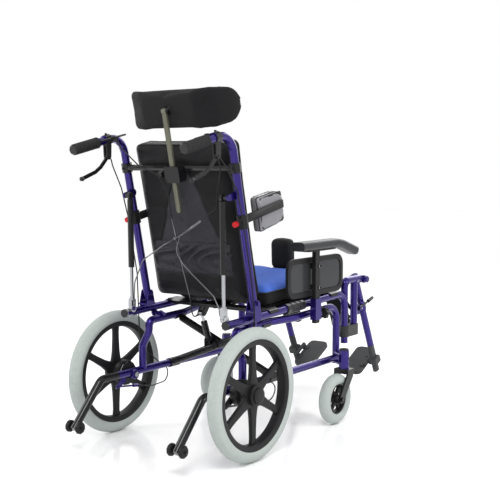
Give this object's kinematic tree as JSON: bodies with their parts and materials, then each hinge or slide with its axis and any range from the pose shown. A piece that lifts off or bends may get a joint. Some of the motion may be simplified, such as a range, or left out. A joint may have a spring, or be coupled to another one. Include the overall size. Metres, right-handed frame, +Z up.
{
  "type": "tilt in space wheelchair",
  "caption": "Wheelchair with a tilting seat frame, reclining back, headrest, trunk pads, pommel, elevating legrests, drum brakes and anti-tip tubes.",
  "frame": {"origin": "centre of the chair's bounding box on the floor", "axes": "+Z up; the sitter faces -Y; +X is the sitter's left"},
  "size_m": [0.618, 1.2568, 1.1242],
  "materials": {
    "violet_paint": "gloss",
    "black_paint": "gloss",
    "black_plastic": "matte",
    "grey_tyre": "matte",
    "bright_metal": "polished",
    "cast_metal": "satin",
    "seat_fabric": "matte",
    "black_fabric": "matte",
    "arm_pad": "satin",
    "grey_plastic": "matte",
    "olive_paint": "satin"
  },
  "bodies": {
    "base": {"left_side_frame": "violet_paint", "right_side_frame": "violet_paint", "cross_brace": "black_paint"},
    "seat": {"left_seat_rail": "violet_paint", "right_seat_rail": "violet_paint", "seat_pan": "black_paint", "seat_cushion": "seat_fabric"},
    "back": {"left_back_cane": "violet_paint", "right_back_cane": "violet_paint", "back_bar": "black_paint", "back_cushion": "black_fabric", "release_cables": "bright_metal", "left_brake_cable": "black_plastic", "right_brake_cable": "black_plastic"},
    "tilt_cylinder": {"tilt_cylinder": "black_paint"},
    "tilt_rod": {"tilt_rod": "bright_metal"},
    "pommel": {"pommel": "black_fabric"},
    "headrest_stem": {"headrest_stem": "olive_paint"},
    "headrest_pad": {"headrest_pad": "black_fabric"},
    "left_rear_wheel": {"left_rear_rim": "black_plastic", "left_rear_tyre": "grey_tyre"},
    "left_caster": {"left_caster_fork": "black_paint"},
    "left_caster_wheel": {"left_caster_wheel": "grey_tyre"},
    "left_anti_tip": {"left_anti_tip_tube": "black_paint"},
    "left_anti_tip_wheels": {"left_anti_tip_wheels": "black_plastic"},
    "left_armrest": {"left_armrest_frame": "black_paint", "left_armrest_pad": "arm_pad"},
    "left_armrest_knob": {"left_armrest_knob": "black_plastic"},
    "left_legrest": {"left_legrest_hanger": "violet_paint"},
    "left_elevation_lever": {"left_elevation_lever": "black_paint"},
    "left_leg": {"left_leg_tube": "violet_paint", "left_calf_pad": "black_fabric"},
    "left_leg_extension": {"left_leg_extension": "cast_metal"},
    "left_footplate": {"left_footplate": "grey_plastic"},
    "left_recline_rod": {"left_recline_rod": "bright_metal"},
    "left_recline_cylinder": {"left_recline_cylinder": "black_paint"},
    "left_brake_lever": {"left_brake_lever": "cast_metal"},
    "left_release_lever": {"left_release_lever": "black_plastic"},
    "left_lateral": {"left_lateral_support": "grey_plastic"},
    "right_rear_wheel": {"right_rear_rim": "black_plastic", "right_rear_tyre": "grey_tyre"},
    "right_caster": {"right_caster_fork": "black_paint"},
    "right_caster_wheel": {"right_caster_wheel": "grey_tyre"},
    "right_anti_tip": {"right_anti_tip_tube": "black_paint"},
    "right_anti_tip_wheels": {"right_anti_tip_wheels": "black_plastic"},
    "right_armrest": {"right_armrest_frame": "black_paint", "right_armrest_pad": "arm_pad"},
    "right_armrest_knob": {"right_armrest_knob": "black_plastic"},
    "right_legrest": {"right_legrest_hanger": "violet_paint"},
    "right_elevation_lever": {"right_elevation_lever": "black_paint"},
    "right_leg": {"right_leg_tube": "violet_paint", "right_calf_pad": "black_fabric"},
    "right_leg_extension": {"right_leg_extension": "cast_metal"},
    "right_footplate": {"right_footplate": "grey_plastic"},
    "right_recline_rod": {"right_recline_rod": "bright_metal"},
    "right_recline_cylinder": {"right_recline_cylinder": "black_paint"},
    "right_brake_lever": {"right_brake_lever": "cast_metal"},
    "right_release_lever": {"right_release_lever": "black_plastic"},
    "right_lateral": {"right_lateral_support": "grey_plastic"}
  },
  "joints": [
    {"name": "seat_tilt", "type": "hinge", "parent": "base", "child": "seat", "pos_m": [0, 0.2503, 0.386], "axis": [-1, 0, 0], "range_deg": [0, 25], "deforming": ["left_brake_cable", "right_brake_cable"]},
    {"name": "back_recline", "type": "hinge", "parent": "seat", "child": "back", "pos_m": [0, 0.2703, 0.455], "axis": [-1, 0, 0], "range_deg": [0, 30], "deforming": ["release_cables", "left_brake_cable", "right_brake_cable"]},
    {"name": "tilt_cylinder_swing", "type": "hinge", "parent": "base", "child": "tilt_cylinder", "pos_m": [0.036, 0.1723, 0.301], "axis": [-1, 0, 0], "range_deg": [0, 0.56]},
    {"name": "tilt_rod_travel", "type": "slide", "parent": "tilt_cylinder", "child": "tilt_rod", "axis": [0, 0.3576, 0.9339], "range_m": [0, 0.0187]},
    {"name": "pommel_travel", "type": "slide", "parent": "seat", "child": "pommel", "axis": [0, -0.9992, 0.039], "range_m": [0, 0.12]},
    {"name": "headrest_height", "type": "slide", "parent": "back", "child": "headrest_stem", "axis": [0, 0.2113, 0.9774], "range_m": [0, 0.1]},
    {"name": "headrest_tilt", "type": "hinge", "parent": "headrest_stem", "child": "headrest_pad", "pos_m": [0, 0.4245, 1.0355], "axis": [-1, 0, 0], "range_deg": [-5, 20]},
    {"name": "left_rear_wheel_roll", "type": "hinge", "parent": "base", "child": "left_rear_wheel", "pos_m": [0.279, 0.3583, 0.2], "axis": [1, 0, 0], "continuous": true},
    {"name": "left_caster_swivel", "type": "hinge", "parent": "base", "child": "left_caster", "pos_m": [0.255, -0.2037, 0.2], "axis": [0, 0, 1], "continuous": true},
    {"name": "left_caster_roll", "type": "hinge", "parent": "left_caster", "child": "left_caster_wheel", "pos_m": [0.255, -0.1457, 0.085], "axis": [1, 0, 0], "continuous": true},
    {"name": "left_anti_tip_turn", "type": "hinge", "parent": "base", "child": "left_anti_tip", "pos_m": [0.205, 0.4283, 0.206], "axis": [0, 1, 0], "range_deg": [0, 180]},
    {"name": "left_anti_tip_roll", "type": "hinge", "parent": "left_anti_tip", "child": "left_anti_tip_wheels", "pos_m": [0.205, 0.6103, 0.08], "axis": [1, 0, 0], "continuous": true},
    {"name": "left_armrest_height", "type": "slide", "parent": "seat", "child": "left_armrest", "axis": [0, 0, 1], "range_m": [0, 0.08]},
    {"name": "left_armrest_knob_turn", "type": "hinge", "parent": "seat", "child": "left_armrest_knob", "pos_m": [0.242, -0.0867, 0.384], "axis": [0, 1, 0], "range_deg": [-180, 180]},
    {"name": "left_legrest_swing", "type": "hinge", "parent": "seat", "child": "left_legrest", "pos_m": [0.205, -0.2867, 0.4], "axis": [0, 0, 1], "range_deg": [0, 90]},
    {"name": "left_elevation_release", "type": "hinge", "parent": "left_legrest", "child": "left_elevation_lever", "pos_m": [0.205, -0.3967, 0.358], "axis": [-1, 0, 0], "range_deg": [0, 20], "stiffness_Nm_per_rad": 1.5},
    {"name": "left_leg_elevation", "type": "hinge", "parent": "left_legrest", "child": "left_leg", "pos_m": [0.178, -0.4067, 0.465], "axis": [-1, 0, 0], "range_deg": [-5, 45]},
    {"name": "left_leg_length", "type": "slide", "parent": "left_leg", "child": "left_leg_extension", "axis": [0, -0.4083, -0.9128], "range_m": [0, 0.08]},
    {"name": "left_footplate_fold", "type": "hinge", "parent": "left_leg_extension", "child": "left_footplate", "pos_m": [0.157, -0.5504, 0.1437], "axis": [0, 0.8838, -0.4679], "range_deg": [0, 90]},
    {"name": "left_recline_rod_swing", "type": "hinge", "parent": "seat", "child": "left_recline_rod", "pos_m": [0.186, 0.3753, 0.417], "axis": [-1, 0, 0], "range_deg": [0, 29.3]},
    {"name": "left_recline_travel", "type": "slide", "parent": "left_recline_rod", "child": "left_recline_cylinder", "axis": [0, 0.0138, 0.9999], "range_m": [-0.0577, 0]},
    {"name": "left_brake_squeeze", "type": "hinge", "parent": "back", "child": "left_brake_lever", "pos_m": [0.218, 0.4463, 0.8998], "axis": [1, 0, 0], "range_deg": [0, 22], "stiffness_Nm_per_rad": 2},
    {"name": "left_release_turn", "type": "hinge", "parent": "back", "child": "left_release_lever", "pos_m": [0.186, 0.4524, 0.9565], "axis": [0, 0.2113, 0.9774], "range_deg": [-10, 15], "stiffness_Nm_per_rad": 1},
    {"name": "left_lateral_swing", "type": "hinge", "parent": "back", "child": "left_lateral", "pos_m": [0.218, 0.2703, 0.455], "axis": [0, 0.2113, 0.9774], "range_deg": [0, 60]},
    {"name": "right_rear_wheel_roll", "type": "hinge", "parent": "base", "child": "right_rear_wheel", "pos_m": [-0.279, 0.3583, 0.2], "axis": [1, 0, 0], "continuous": true},
    {"name": "right_caster_swivel", "type": "hinge", "parent": "base", "child": "right_caster", "pos_m": [-0.255, -0.2037, 0.2], "axis": [0, 0, 1], "continuous": true},
    {"name": "right_caster_roll", "type": "hinge", "parent": "right_caster", "child": "right_caster_wheel", "pos_m": [-0.255, -0.1457, 0.085], "axis": [1, 0, 0], "continuous": true},
    {"name": "right_anti_tip_turn", "type": "hinge", "parent": "base", "child": "right_anti_tip", "pos_m": [-0.205, 0.4283, 0.206], "axis": [0, -1, 0], "range_deg": [0, 180]},
    {"name": "right_anti_tip_roll", "type": "hinge", "parent": "right_anti_tip", "child": "right_anti_tip_wheels", "pos_m": [-0.205, 0.6103, 0.08], "axis": [1, 0, 0], "continuous": true},
    {"name": "right_armrest_height", "type": "slide", "parent": "seat", "child": "right_armrest", "axis": [0, 0, 1], "range_m": [0, 0.08]},
    {"name": "right_armrest_knob_turn", "type": "hinge", "parent": "seat", "child": "right_armrest_knob", "pos_m": [-0.242, -0.0867, 0.384], "axis": [0, 1, 0], "range_deg": [-180, 180]},
    {"name": "right_legrest_swing", "type": "hinge", "parent": "seat", "child": "right_legrest", "pos_m": [-0.205, -0.2867, 0.4], "axis": [0, 0, -1], "range_deg": [0, 90]},
    {"name": "right_elevation_release", "type": "hinge", "parent": "right_legrest", "child": "right_elevation_lever", "pos_m": [-0.205, -0.3967, 0.358], "axis": [-1, 0, 0], "range_deg": [0, 20], "stiffness_Nm_per_rad": 1.5},
    {"name": "right_leg_elevation", "type": "hinge", "parent": "right_legrest", "child": "right_leg", "pos_m": [-0.178, -0.4067, 0.465], "axis": [-1, 0, 0], "range_deg": [-5, 45]},
    {"name": "right_leg_length", "type": "slide", "parent": "right_leg", "child": "right_leg_extension", "axis": [0, -0.4083, -0.9128], "range_m": [0, 0.08]},
    {"name": "right_footplate_fold", "type": "hinge", "parent": "right_leg_extension", "child": "right_footplate", "pos_m": [-0.157, -0.5504, 0.1437], "axis": [0, -0.8838, 0.4679], "range_deg": [0, 90]},
    {"name": "right_recline_rod_swing", "type": "hinge", "parent": "seat", "child": "right_recline_rod", "pos_m": [-0.186, 0.3753, 0.417], "axis": [-1, 0, 0], "range_deg": [0, 29.3]},
    {"name": "right_recline_travel", "type": "slide", "parent": "right_recline_rod", "child": "right_recline_cylinder", "axis": [0, 0.0138, 0.9999], "range_m": [-0.0577, 0]},
    {"name": "right_brake_squeeze", "type": "hinge", "parent": "back", "child": "right_brake_lever", "pos_m": [-0.218, 0.4463, 0.8998], "axis": [1, 0, 0], "range_deg": [0, 22], "stiffness_Nm_per_rad": 2},
    {"name": "right_release_turn", "type": "hinge", "parent": "back", "child": "right_release_lever", "pos_m": [-0.186, 0.4524, 0.9565], "axis": [0, 0.2113, 0.9774], "range_deg": [-15, 10], "stiffness_Nm_per_rad": 1},
    {"name": "right_lateral_swing", "type": "hinge", "parent": "back", "child": "right_lateral", "pos_m": [-0.218, 0.2703, 0.455], "axis": [0, -0.2113, -0.9774], "range_deg": [0, 60]}
  ],
  "couplings": [
    {"joint": "tilt_cylinder_swing", "follows": "seat_tilt", "ratio": 0.022},
    {"joint": "tilt_rod_travel", "follows": "seat_tilt", "m_per_rad": 0.0425},
    {"joint": "left_recline_rod_swing", "follows": "back_recline", "ratio": 0.974},
    {"joint": "left_recline_travel", "follows": "back_recline", "m_per_rad": -0.11},
    {"joint": "right_recline_rod_swing", "follows": "back_recline", "ratio": 0.974},
    {"joint": "right_recline_travel", "follows": "back_recline", "m_per_rad": -0.11}
  ]
}
